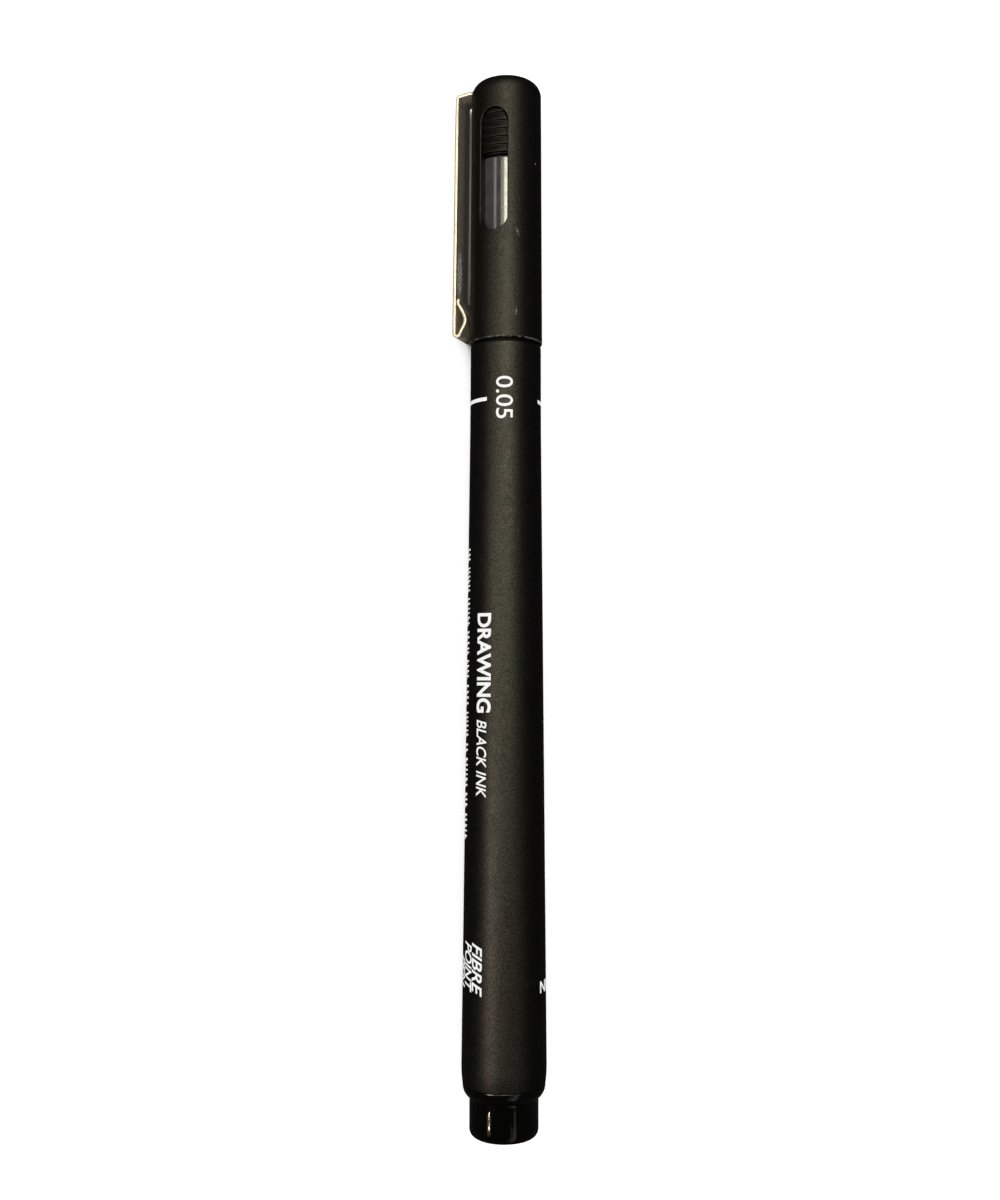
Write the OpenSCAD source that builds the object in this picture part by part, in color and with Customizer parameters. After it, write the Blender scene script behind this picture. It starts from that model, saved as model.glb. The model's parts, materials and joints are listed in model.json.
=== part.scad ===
// Technical drawing pen: a moulded barrel with a fibre ink reservoir and a
// sleeved fine nib, and a slide-off cap with side windows and a steel clip.
//
// Every piece is drawn about the pen's own axis, with z = 0 at the tail's end,
// the cap towards +z and the clip towards +x. lay_down() then rests the pen on
// the plane z = 0, with its axis along +Y. The clip's edge then reaches as low
// as the cap's rim, which keeps the pen from rolling.

/* [Overall] */
// Length with the cap on
pen_len = 140; // [136:1:144]
// Length of the cap's shell
cap_len = 38.2; // [38:0.1:40]
// Gap between the cap's rim and the barrel's front end
seam_gap = 0.4; // [0.3:0.05:0.6]

/* [Barrel] */
// Largest diameter, near the tail
barrel_tail_d = 10.8; // [10.6:0.05:11.4]
// Diameter of the parallel stretch at the front
barrel_front_d = 9.66; // [9.6:0.02:9.8]
// Length of the parallel stretch
barrel_parallel = 11.4; // [6:0.2:20]
// Diameter of the bore that holds the ink reservoir
bore_d = 7.8; // [7.7:0.05:7.9]

/* [Tail plug] */
// Diameter of the post that a removed cap is pushed onto
post_d = 8.7; // [8.4:0.05:8.74]
// Length of the plug outside the barrel
plug_out = 6.25; // [5.5:0.05:7]
// Radius of the rounded end
plug_round = 1.0; // [0.6:0.1:1.4]

/* [Cap] */
// Diameter at the rim
cap_rim_d = 10; // [9.9:0.02:10.2]
// Diameter just below the rounded top
cap_top_d = 9.84; // [9.7:0.02:9.9]
// Radius of the rounded top edge
cap_round = 2; // [1.6:0.1:2.2]
// Width of the window in each side
window_w = 4.2; // [3.8:0.1:4.4]
// Length of the window
window_len = 17.8; // [16.4:0.1:18]
// Distance from the cap's top to the window
window_drop = 5.2; // [5:0.1:5.8]

/* [Clip] */
// Width of the steel strip
clip_w = 4.2; // [4:0.1:4.6]
// Thickness of the strip
clip_t = 0.45; // [0.4:0.05:0.5]
// Distance from the pen's axis to the clip's outer face, at its free end
clip_out = 7.2; // [7.1:0.05:7.4]

/* [Writing end] */
// Distance from the nib's point to the top of the cap
nib_drop = 14.1; // [14:0.1:14.5]
// Diameter of the grip
grip_d = 6.9; // [6.7:0.05:6.96]
// Diameter of the steel sleeve
sleeve_d = 1.24; // [1.1:0.02:1.3]
// Diameter of the nib's point
nib_point_d = 0.28; // [0.2:0.02:0.36]

/* [Hidden] */
$fn = 96;

fit = 0.02;           // clearance round a piece that is pressed or bonded in place
cut = 1;              // overrun of a cutting solid

// Colours
matte_black = [0.10, 0.098, 0.09];
gloss_black = [0.03, 0.03, 0.03];
steel = [0.72, 0.71, 0.68];
fibre = [0.90, 0.89, 0.84];

// Heights of the main faces along the axis
cap_rim = pen_len - cap_len;
barrel_front = cap_rim - seam_gap;
barrel_back = plug_out;
nib_point = pen_len - nib_drop;

// Barrel
tail_r = barrel_tail_d / 2;
front_r = barrel_front_d / 2;
bore_r = bore_d / 2;
shoulder_z = barrel_back + 2.35;     // where the tail's shoulder meets the taper
shoulder_r = 16;                     // radius of that shoulder, in profile
plug_bore_r = 4.2;
plug_bore_end = 14;
front_round = 0.2;

// Tail plug
post_r = post_d / 2;
collar_round = 1.8;                  // the collar's convex shoulder
collar_r = tail_r - 0.17;
plug_wall = 0.9;
plug_floor = 1.4;                    // thickness of the closed end
finger_r = 3.3;                      // the rear tube that holds the reservoir forward
finger_end = 19.4;

// Reservoir and feed
core_r = 3.5;
core_back = 20;
core_front = 83.5;
film_t = 0.1;
wick_r = 1.1;
wick_back = 76;
wick_front = 115;

// Grip section
section_back = 84;
collar_top = cap_rim + 0.35;         // the collar that stops the cap
collar_disc_r = 4.5;
land_r = 4.12;                       // the land that the cap slides over
ridge_r = 4.33;
ridge_z = cap_rim + 2.6;
land_top = cap_rim + 4.4;
grip_r = grip_d / 2;
grip_back = cap_rim + 8.2;
section_front = nib_point - 6.1;
nose_base = section_front - 3;       // where the grip turns into the cone
groove_pitch = 1.1;
groove_count = 4;
groove_depth = 0.14;

// Nib holder, sleeve and nib
holder_r = 2.0;
holder_back = 112;
nose_front = nib_point - 3.3;
nose_r = 0.95;
sleeve_r = sleeve_d / 2;
sleeve_front = nib_point - 0.8;
sleeve_back = section_front - 1.8;
nib_r = 0.4;
nib_back = 113;

// Cap
rim_r = cap_rim_d / 2;
top_r = cap_top_d / 2;
mouth_r = 4.56;
mouth_top = cap_rim + 0.4;
skirt_r = 4.40;                      // bore that slides over the ridge, and over the tail's post
skirt_top = cap_rim + 8.1;
chamber_r = 4.10;                    // bore that the inner cap and the clip holder sit in
ceiling = pen_len - 1.0;
window_top = pen_len - window_drop;
window_mid = window_top - window_len / 2;

// Inner cap
inner_r = chamber_r - 0.03;
seal_r = grip_r + 0.07;
inner_top = nib_point + 2;
inner_ceiling = inner_top - 0.9;
flange_h = 0.8;

// Clip holder
holder_bottom = inner_top + 0.2;
pad_bottom = holder_bottom + 0.15;
pad_r = top_r - 0.18;
rib_pitch = 1.17;
rib_depth = 0.24;
pocket_floor = pen_len - 10;

// Clip: the bend's centre is also the line that the arm flexes about
strip_z = pen_len - 1.3;             // centreline of the strip where it leaves the cap
bridge_slope = 8;
bend_mid_r = 0.7 - clip_t / 2;
bend_x = clip_out - 0.9;
bend_z = strip_z - (bend_x + bend_mid_r * sin(bridge_slope) - rim_r) * tan(bridge_slope)
    - bend_mid_r * cos(bridge_slope);
flex_gap = 12;                       // gap between root and arm, in degrees round the bend
tang_w = 3.0;
tang_x = 3.535;                      // centre of the strip inside the cap
tang_round = 0.325;
turn_r = 0.45;                       // the tight turn at the free end
turn_x = clip_out - clip_t / 2 - turn_r;
turn_z = cap_rim + 1.9;
turn_end = -158;
bead_x = rim_r + 0.07 + clip_t / 2;  // centreline of the bead where it meets the cap
bead_z = cap_rim + 3.7;
lip_x = clip_out - 1.5 * clip_t - 0.1;
lip_z = cap_rim + 6.3;
lip_r = 0.4;
lip_start = -25;
lip_end = 55;

// Resting pose
lean = asin(rim_r / norm([clip_out, clip_w / 2])) - atan2(clip_w / 2, clip_out);
axis_x = (clip_out * cos(lean) + clip_w / 2 * sin(lean) - tail_r) / 2;

// ---- helpers -------------------------------------------------------------

function arc(cx, cy, r, a0, a1, n = 10) =
    [for (i = [0 : n]) let (a = a0 + (a1 - a0) * i / n) [cx + r * cos(a), cy + r * sin(a)]];

function bezier(p, n = 8) =
    [for (i = [1 : n]) let (t = i / n, u = 1 - t)
        u * u * u * p[0] + 3 * u * u * t * p[1] + 3 * u * t * t * p[2] + t * t * t * p[3]];

function side(path, i, d) =
    let (a = path[max(i - 1, 0)], b = path[min(i + 1, len(path) - 1)], t = (b - a) / norm(b - a))
    path[i] + d * [-t[1], t[0]];

// A strip of even thickness along a centreline
function ribbon(path, t) = concat(
    [for (i = [0 : len(path) - 1]) side(path, i, t / 2)],
    [for (i = [len(path) - 1 : -1 : 0]) side(path, i, -t / 2)]);

module lay_down() {
    translate([axis_x, -pen_len / 2, tail_r])
        rotate([-90, 0, 0]) rotate([0, 0, 180 - lean]) children();
}

module turned(profile) {
    rotate_extrude() polygon(profile);
}

// A bore or rod between two heights
module rod(r, from, to) {
    translate([0, 0, from]) cylinder(r = r, h = to - from);
}

// A strip bent in the x-z plane, w wide along y
module bent_strip(path, w) {
    rotate([90, 0, 0])
        linear_extrude(height = w, center = true) polygon(ribbon(path, clip_t));
}

// The window's outline as a prism along y, shrunk by gap all round
module window_prism(gap = 0) {
    w = window_w - 2 * gap;
    run = window_len - window_w;
    translate([0, 0, window_mid]) rotate([90, 0, 0])
        linear_extrude(height = 3 * rim_r, center = true) {
            square([w, run], center = true);
            for (end = [-1, 1]) translate([0, end * run / 2]) circle(d = w);
        }
}

// ---- pen -----------------------------------------------------------------

module barrel() {
    rib_count = 4;
    rib_w = 0.6;
    rib_in = core_r + film_t + 0.03;
    shoulder_turn = asin((shoulder_z - barrel_back) / shoulder_r);
    color(matte_black) {
        difference() {
            turned(concat(
                [[0, barrel_back]],
                arc(tail_r - shoulder_r, shoulder_z, shoulder_r, -shoulder_turn, 0, 6),
                [[front_r, barrel_front - barrel_parallel]],
                arc(front_r - front_round, barrel_front - front_round, front_round, 0, 90, 5),
                [[0, barrel_front]]));
            rod(bore_r, barrel_back - cut, barrel_front + cut);
            rod(plug_bore_r, barrel_back - cut, plug_bore_end);
        }
        for (i = [0 : rib_count - 1]) rotate([0, 0, 45 + i * 360 / rib_count])
            translate([rib_in, -rib_w / 2, plug_bore_end + 2])
                cube([bore_r - rib_in + 0.1, rib_w, section_back - plug_bore_end - 4]);
    }
}

module tail_plug() {
    dimple_r = 0.7;
    dimple_h = 0.3;
    foot = acos((post_r - (collar_r - collar_round)) / collar_round);
    color(gloss_black) difference() {
        turned(concat(
            [[0, 0]],
            arc(post_r - plug_round, plug_round, plug_round, -90, 0, 8),
            arc(collar_r - collar_round, barrel_back - fit, collar_round, -foot, 0, 8),
            [[plug_bore_r - fit, barrel_back - fit], [plug_bore_r - fit, plug_bore_end - 0.5],
             [finger_r, plug_bore_end - 0.5], [finger_r, finger_end], [0, finger_end]]));
        rod(finger_r - plug_wall, plug_floor, finger_end + cut);
        rod(dimple_r, -cut, dimple_h);
    }
}

module grip_section() {
    ridge_h = 0.6;
    first_groove = grip_back + 1.2;
    color(gloss_black) difference() {
        turned(concat(
            [[0, section_back], [bore_r - fit, section_back], [bore_r - fit, barrel_front + fit],
             [collar_disc_r, barrel_front + fit], [collar_disc_r, collar_top], [land_r, collar_top],
             [land_r, ridge_z - ridge_h]],
            [for (a = [-75 : 15 : 75]) [land_r + (ridge_r - land_r) * cos(a), ridge_z + ridge_h * sin(a)]],
            [[land_r, ridge_z + ridge_h], [land_r, land_top], [grip_r, grip_back]],
            [for (i = [0 : groove_count - 1], k = [0 : 3])
                [grip_r - (k == 1 || k == 2 ? groove_depth : 0), first_groove + i * groove_pitch + 0.12 * k]],
            [[grip_r, nose_base], [holder_r + 0.15, section_front], [0, section_front]]));
        rod(wick_r + 0.05, section_back - cut, section_front + cut);
        rod(3.2, section_back - cut, section_back + 6);
        rod(holder_r + fit, holder_back - fit, section_front + cut);
    }
}

module nib_holder() {
    color(gloss_black) difference() {
        turned([[0, holder_back], [holder_r, holder_back], [holder_r, section_front + 0.1],
                [nose_r + 0.1, nose_front - 0.25], [nose_r, nose_front], [0, nose_front]]);
        rod(wick_r + 0.03, holder_back - cut, wick_front + 0.1);
        rod(sleeve_r + fit, wick_front, nose_front + cut);
    }
}

module nib_sleeve() {
    taper_h = 0.7;
    color(steel) difference() {
        turned([[0, sleeve_back], [sleeve_r, sleeve_back], [sleeve_r, sleeve_front - taper_h],
                [nib_r + 0.06, sleeve_front], [0, sleeve_front]]);
        rod(nib_r + fit, sleeve_back - cut, sleeve_front + cut);
    }
}

module nib() {
    point_r = nib_point_d / 2;
    color([0.06, 0.06, 0.06])
        turned([[0, nib_back], [nib_r, nib_back], [nib_r, sleeve_front - 0.05],
                [point_r + 0.02, sleeve_front + 0.1], [point_r, nib_point - 0.06],
                [point_r - 0.06, nib_point], [0, nib_point]]);
}

module feed_wick() {
    color(fibre) difference() {
        rod(wick_r, wick_back, wick_front);
        rod(nib_r + fit, nib_back - fit, wick_front + cut);
    }
}

module ink_reservoir() {
    color(fibre) difference() {
        rod(core_r, core_back, core_front);
        rod(wick_r + fit, wick_back - fit, core_front + cut);
    }
}

module reservoir_film() {
    overhang = 0.2;
    color([0.85, 0.9, 0.92]) difference() {
        rod(core_r + film_t, core_back - overhang, core_front + overhang);
        rod(core_r + fit, core_back - cut, core_front + cut);
    }
}

// ---- cap -----------------------------------------------------------------

module cap_shell() {
    rim_round = 0.15;
    slit_gap = 0.05;
    color(matte_black) difference() {
        turned(concat(
            [[0, cap_rim]],
            arc(rim_r - rim_round, cap_rim + rim_round, rim_round, -90, 0, 5),
            arc(top_r - cap_round, pen_len - cap_round, cap_round, 0, 90, 16),
            [[0, pen_len]]));
        rod(mouth_r, cap_rim - cut, mouth_top);
        rod(skirt_r, cap_rim - cut, skirt_top);
        rod(chamber_r, cap_rim - cut, ceiling);
        window_prism();
        translate([tang_x, -clip_w / 2 - slit_gap, strip_z - clip_t / 2 - slit_gap])
            cube([rim_r, clip_w + 2 * slit_gap, clip_t + 2 * slit_gap]);
    }
}

module inner_cap() {
    flange_r = skirt_r - 0.03;
    mouth_wide = seal_r + 0.23;
    color(gloss_black) difference() {
        turned([[0, skirt_top - flange_h], [flange_r, skirt_top - flange_h], [flange_r, skirt_top - fit],
                [inner_r, skirt_top - fit], [inner_r, inner_top - 0.3], [inner_r - 0.3, inner_top],
                [0, inner_top]]);
        turned([[0, skirt_top - flange_h - cut], [mouth_wide, skirt_top - flange_h - cut],
                [mouth_wide, skirt_top - flange_h], [seal_r, skirt_top + 0.3], [seal_r, skirt_top + 1.3],
                [seal_r + 0.08, skirt_top + 1.6], [seal_r + 0.08, inner_ceiling], [0, inner_ceiling]]);
    }
}

// Teeth that lean towards the cap's top, as a ring about the axis
module ribbed_ring() {
    count = floor((window_top - pad_bottom) / rib_pitch) + 1;
    turned(concat(
        [[0, pad_bottom]],
        [for (i = [0 : count - 1], top = [0, 1])
            [pad_r - (top == 1 ? rib_depth : 0), pad_bottom + (i + top * 0.98) * rib_pitch]],
        [[0, pad_bottom + count * rib_pitch]]));
}

module clip_holder() {
    wall = 1.05;
    roof = 1.4;
    pocket_gap = 0.04;
    shelf_z = strip_z - clip_t / 2 - 0.1;
    color(matte_black) difference() {
        union() {
            rod(inner_r, holder_bottom, ceiling - fit);
            intersection() {
                ribbed_ring();
                window_prism(0.06);
            }
        }
        rod(inner_r - wall, holder_bottom - cut, ceiling - roof);
        translate([tang_x - clip_t / 2 - pocket_gap, -tang_w / 2 - pocket_gap, pocket_floor])
            cube([rim_r, tang_w + 2 * pocket_gap, pen_len]);
        translate([tang_x - clip_t / 2 - pocket_gap, -clip_w / 2 - pocket_gap, shelf_z])
            cube([rim_r, clip_w + 2 * pocket_gap, pen_len]);
    }
}

module clip_root() {
    bridge = [bend_x + bend_mid_r * sin(bridge_slope), bend_z + bend_mid_r * cos(bridge_slope)];
    color(steel) {
        bent_strip(concat(
            [[tang_x, pocket_floor + 0.2]],
            arc(tang_x + tang_round, strip_z - tang_round, tang_round, 180, 90, 6),
            [[tang_x + 0.6, strip_z]]), tang_w);
        bent_strip([[tang_x + 0.5, strip_z], [rim_r, strip_z], bridge], clip_w);
    }
}

module clip_arm() {
    reach = [turn_x - bend_x, bend_z - turn_z];
    splay = atan2(reach[0], reach[1]) - asin((bend_mid_r - turn_r) / norm(reach));
    turn = arc(turn_x, turn_z, turn_r, splay, turn_end, 10);
    rise = turn[len(turn) - 1];
    lip = arc(lip_x - lip_r, lip_z, lip_r, lip_start, lip_end, 5);
    color(steel) bent_strip(concat(
        arc(bend_x, bend_z, bend_mid_r, 90 - bridge_slope - flex_gap, splay, 6),
        turn,
        bezier([rise, rise + 0.95 * [sin(turn_end), -cos(turn_end)],
                [bead_x, bead_z - 0.75], [bead_x, bead_z]]),
        bezier([[bead_x, bead_z], [bead_x, bead_z + 0.8],
                lip[0] - 0.8 * [-sin(lip_start), cos(lip_start)], lip[0]]),
        [for (i = [1 : len(lip) - 1]) lip[i]]), clip_w);
}

lay_down() barrel();
lay_down() tail_plug();
lay_down() grip_section();
lay_down() nib_holder();
lay_down() nib_sleeve();
lay_down() nib();
lay_down() feed_wick();
lay_down() ink_reservoir();
lay_down() reservoir_film();
lay_down() cap_shell();
lay_down() inner_cap();
lay_down() clip_holder();
lay_down() clip_root();
lay_down() clip_arm();
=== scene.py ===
"""A capped technical pen, lying on a pale surface and seen from above.

Lengths inside the script are in millimetres. A point of the pen has a height z above the tail's
end, a distance r from the pen's axis and an angle round it, from the top towards +X.
"""

import json
import math
import random

import bmesh
import bpy
from mathutils import Matrix, Vector


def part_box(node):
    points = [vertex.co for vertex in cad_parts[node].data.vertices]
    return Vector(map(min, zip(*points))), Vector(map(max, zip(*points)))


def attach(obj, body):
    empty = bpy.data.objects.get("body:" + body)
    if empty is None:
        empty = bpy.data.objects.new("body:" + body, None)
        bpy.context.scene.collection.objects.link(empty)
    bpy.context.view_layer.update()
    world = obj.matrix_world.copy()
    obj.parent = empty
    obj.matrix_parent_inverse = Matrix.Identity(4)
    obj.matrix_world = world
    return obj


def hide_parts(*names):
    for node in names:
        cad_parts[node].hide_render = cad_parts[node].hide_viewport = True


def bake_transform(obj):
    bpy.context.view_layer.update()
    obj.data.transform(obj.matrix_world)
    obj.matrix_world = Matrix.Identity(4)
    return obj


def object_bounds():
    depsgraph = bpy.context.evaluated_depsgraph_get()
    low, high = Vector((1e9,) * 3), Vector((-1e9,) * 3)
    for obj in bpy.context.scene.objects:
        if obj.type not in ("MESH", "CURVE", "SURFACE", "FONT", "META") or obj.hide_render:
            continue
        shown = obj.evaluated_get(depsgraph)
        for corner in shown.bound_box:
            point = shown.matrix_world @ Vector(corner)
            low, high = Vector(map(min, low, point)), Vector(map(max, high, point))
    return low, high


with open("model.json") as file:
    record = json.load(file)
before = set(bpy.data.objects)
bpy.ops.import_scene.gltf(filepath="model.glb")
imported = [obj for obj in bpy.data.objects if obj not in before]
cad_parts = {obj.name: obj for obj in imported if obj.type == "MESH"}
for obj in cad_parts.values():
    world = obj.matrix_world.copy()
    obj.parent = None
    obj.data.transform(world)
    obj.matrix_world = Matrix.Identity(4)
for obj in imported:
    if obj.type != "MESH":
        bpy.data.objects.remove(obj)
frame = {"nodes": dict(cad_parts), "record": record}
cad_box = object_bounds()

# ---- places and sizes from the frame ------------------------------------------------------

MM = 0.001
TAIL_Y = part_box("tail_plug")[0].y
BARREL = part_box("barrel")
AXIS_X = (BARREL[0].x + BARREL[1].x) / 2
AXIS_Z = (BARREL[0].z + BARREL[1].z) / 2
FLOOR_Z = cad_box[0].z


def heights(node):
    """Lowest and highest point of a node along the pen."""
    low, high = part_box(node)
    return (low.y - TAIL_Y) / MM, (high.y - TAIL_Y) / MM


def radius(node):
    low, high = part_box(node)
    return (high.z - low.z) / 2 / MM


def joint(name):
    return next(j for j in frame["record"]["behaviour"]["joints"] if j["name"] == name)


FLEX = joint("clip_flex")
LEAN = math.asin(FLEX["axis"][0])          # how far the clip points below the horizontal
CLIP_ANGLE = -(math.pi / 2 + LEAN)
WINDOW_ANGLE = -LEAN
BARREL_BACK, BARREL_FRONT = heights("barrel")
CAP_RIM, CAP_TOP = heights("cap_shell")
BARREL_R = radius("barrel")
RIM_R = radius("cap_shell")
NIB_POINT = heights("nib")[1]

# Barrel and plug
FRONT_R = 4.83
PARALLEL = 11.4
SHOULDER = 2.35
BORE_R = 3.9
PLUG_BORE_R = 4.2
PLUG_BORE_END = 14.0
POST_R = 4.35

# Cap
CROWN_R = 4.92
CROWN_ROUND = 2.0
MOUTH_R = 4.56
SKIRT_R = 4.40
SKIRT_TOP = CAP_RIM + 8.1
CHAMBER_R = 4.10
CEILING = CAP_TOP - 1.0
WINDOW_W = 4.2
WINDOW_LEN = 17.8
WINDOW_TOP = CAP_TOP - 5.2
WINDOW_MID = WINDOW_TOP - WINDOW_LEN / 2

# Clip
CLIP_T = 0.45
CLIP_W = 4.2
CLIP_OUT = 7.2
PIVOT_X = 6.3
PIVOT_Z = (FLEX["pos_m"][1] - TAIL_Y) / MM
OUTWARD = Vector((math.sin(CLIP_ANGLE), 0, math.cos(CLIP_ANGLE)))   # from the axis to the clip
ACROSS = OUTWARD.cross(Vector((0, 1, 0)))                          # across the strip, downwards

# ---- geometry helpers ---------------------------------------------------------------------


def on_pen(r, angle, z):
    """A point of the pen, in metres, in the row frame."""
    return Vector((AXIS_X + r * MM * math.sin(angle), TAIL_Y + z * MM, AXIS_Z + r * MM * math.cos(angle)))


def arc(cx, cy, r, a0, a1, n=8):
    """Points on an arc, with the angles in degrees."""
    steps = [math.radians(a0 + (a1 - a0) * i / n) for i in range(n + 1)]
    return [(cx + r * math.cos(a), cy + r * math.sin(a)) for a in steps]


def bezier(p0, p1, p2, p3, n=10):
    """Points after p0 on a cubic curve."""
    points = []
    for i in range(1, n + 1):
        t = i / n
        u = 1 - t
        w = (u ** 3, 3 * u * u * t, 3 * u * t * t, t ** 3)
        points.append(tuple(sum(k * p[j] for k, p in zip(w, (p0, p1, p2, p3))) for j in (0, 1)))
    return points


def rounded(corners, n=5, hold=0.04):
    """A profile through (r, z, fillet) corners. Points just off each fillet keep the flats flat."""
    out = []
    for i, corner in enumerate(corners):
        here = Vector(corner[:2])
        fillet = corner[2] if len(corner) > 2 else 0
        if i in (0, len(corners) - 1) or fillet == 0:
            out.append(tuple(here))
            continue
        before, after = Vector(corners[i - 1][:2]), Vector(corners[i + 1][:2])
        a, b = (before - here).normalized(), (after - here).normalized()
        half = a.angle(b) / 2
        reach = fillet / math.tan(half)
        centre = here + (a + b).normalized() * (fillet / math.sin(half))
        start, end = here + a * reach - centre, here + b * reach - centre
        turn = math.atan2(start.x * end.y - start.y * end.x, start.dot(end))
        out.append(tuple(centre + start + a * hold))
        for k in range(n + 1):
            c, s = math.cos(turn * k / n), math.sin(turn * k / n)
            out.append((centre.x + start.x * c - start.y * s, centre.y + start.x * s + start.y * c))
        out.append(tuple(centre + end + b * hold))
    return out


def finish_mesh(bm, name, material):
    """Welds, faces outward, smooths and links a mesh."""
    bmesh.ops.remove_doubles(bm, verts=bm.verts, dist=1e-7)
    bmesh.ops.dissolve_degenerate(bm, edges=bm.edges, dist=1e-8)
    bmesh.ops.recalc_face_normals(bm, faces=bm.faces)
    mesh = bpy.data.meshes.new(name)
    bm.to_mesh(mesh)
    bm.free()
    mesh.polygons.foreach_set("use_smooth", [True] * len(mesh.polygons))
    piece = bpy.data.objects.new(name, mesh)
    bpy.context.scene.collection.objects.link(piece)
    mesh.materials.append(material)
    return piece


def add_lathe(bm, profile, segments, closed=False):
    """Turns a profile of (r, z) points about the pen's axis. Points at r = 0 become one vertex."""
    rings = []
    for r, z in profile:
        if r < 1e-6:
            rings.append([bm.verts.new(on_pen(0, 0, z))])
            continue
        rings.append([bm.verts.new(on_pen(r, 2 * math.pi * k / segments, z)) for k in range(segments)])
    pairs = list(zip(rings, rings[1:])) + ([(rings[-1], rings[0])] if closed else [])
    for a, b in pairs:
        for k in range(segments):
            m = (k + 1) % segments
            corners = [a[k % len(a)], a[m % len(a)], b[m % len(b)], b[k % len(b)]]
            unique = list(dict.fromkeys(corners))
            if len(unique) > 2:
                bm.faces.new(unique)


def lathe(name, profile, material, segments=192, closed=False):
    bm = bmesh.new()
    add_lathe(bm, profile, segments, closed)
    return finish_mesh(bm, name, material)


# ---- materials ----------------------------------------------------------------------------


class Nodes:
    """Short calls for building one material's nodes."""

    def __init__(self, name):
        self.material = bpy.data.materials.new(name)
        self.material.use_nodes = True
        self.tree = self.material.node_tree
        self.shader = self.tree.nodes["Principled BSDF"]
        self.place = self.tree.nodes.new("ShaderNodeTexCoord").outputs["Object"]

    def add(self, kind, **settings):
        node = self.tree.nodes.new(kind)
        for key, value in settings.items():
            setattr(node, key, value)
        return node

    def join(self, source, target):
        self.tree.links.new(source, target)

    def stretched(self, scale):
        """The object's coordinates, scaled along each axis."""
        mapping = self.add("ShaderNodeMapping")
        mapping.inputs["Scale"].default_value = scale
        self.join(self.place, mapping.inputs["Vector"])
        return mapping.outputs["Vector"]

    def noise(self, scale, detail=2.0, rough=0.5, place=None):
        node = self.add("ShaderNodeTexNoise")
        node.inputs["Scale"].default_value = scale
        node.inputs["Detail"].default_value = detail
        node.inputs["Roughness"].default_value = rough
        self.join(place or self.place, node.inputs["Vector"])
        return node.outputs["Fac"]

    def span(self, source, low, high, to_low=0.0, to_high=1.0):
        """Maps low..high of a value onto to_low..to_high, clamped."""
        node = self.add("ShaderNodeMapRange")
        self.join(source, node.inputs["Value"])
        for key, value in zip(("From Min", "From Max", "To Min", "To Max"), (low, high, to_low, to_high)):
            node.inputs[key].default_value = value
        return node.outputs["Result"]

    def maths(self, operation, a, b):
        node = self.add("ShaderNodeMath", operation=operation)
        for socket, value in zip(node.inputs, (a, b)):
            if isinstance(value, (int, float)):
                socket.default_value = value
            else:
                self.join(value, socket)
        return node.outputs[0]

    def mix(self, factor, a, b):
        """Mixes two colours, each an (r, g, b) or a socket."""
        node = self.add("ShaderNodeMix", data_type="RGBA")
        self.join(factor, node.inputs["Factor"])
        for socket, value in zip((node.inputs[6], node.inputs[7]), (a, b)):
            if isinstance(value, tuple):
                socket.default_value = (*value, 1)
            else:
                self.join(value, socket)
        return node.outputs[2]

    def specks(self, scale, size, share):
        """Sparse round specks: one in some of the cells of a Voronoi pattern."""
        cells = self.add("ShaderNodeTexVoronoi")
        cells.inputs["Scale"].default_value = scale
        self.join(self.place, cells.inputs["Vector"])
        split = self.add("ShaderNodeSeparateColor")
        self.join(cells.outputs["Color"], split.inputs["Color"])
        dot = self.span(cells.outputs["Distance"], size * 0.6, size, 1, 0)
        chosen = self.span(split.outputs["Red"], share, share + 0.01, 1, 0)
        return self.maths("MULTIPLY", dot, chosen)

    def near(self, y, reach):
        """1 at the height y of the pen, in metres, and 0 beyond reach."""
        split = self.add("ShaderNodeSeparateXYZ")
        self.join(self.place, split.inputs["Vector"])
        away = self.maths("ABSOLUTE", self.maths("SUBTRACT", split.outputs["Y"], y), 0.0)
        return self.span(away, reach * 0.3, reach, 1, 0)

    def scuff(self, centre, size, turn=0.0):
        """A soft mark of the given half sizes about a point, broken up by fine noise."""
        mapping = self.add("ShaderNodeMapping", vector_type="TEXTURE")
        mapping.inputs["Location"].default_value = centre
        mapping.inputs["Rotation"].default_value = (0, 0, turn)
        mapping.inputs["Scale"].default_value = size
        self.join(self.place, mapping.inputs["Vector"])
        length = self.add("ShaderNodeVectorMath", operation="LENGTH")
        self.join(mapping.outputs["Vector"], length.inputs[0])
        soft = self.span(length.outputs["Value"], 0.2, 1.0, 1, 0)
        return self.maths("MULTIPLY", soft, self.span(self.noise(6000, 2), 0.42, 0.6))

    def bump(self, height, distance, strength=1.0, below=None):
        node = self.add("ShaderNodeBump")
        node.inputs["Distance"].default_value = distance
        node.inputs["Strength"].default_value = strength
        self.join(height, node.inputs["Height"])
        if below:
            self.join(below, node.inputs["Normal"])
        return node.outputs["Normal"]

    def done(self, colour=None, rough=None, normal=None, **fixed):
        for key, source in (("Base Color", colour), ("Roughness", rough), ("Normal", normal)):
            if source is not None:
                self.join(source, self.shader.inputs[key])
        for key, value in fixed.items():
            self.shader.inputs[key.replace("_", " ")].default_value = value
        return self.material


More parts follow.
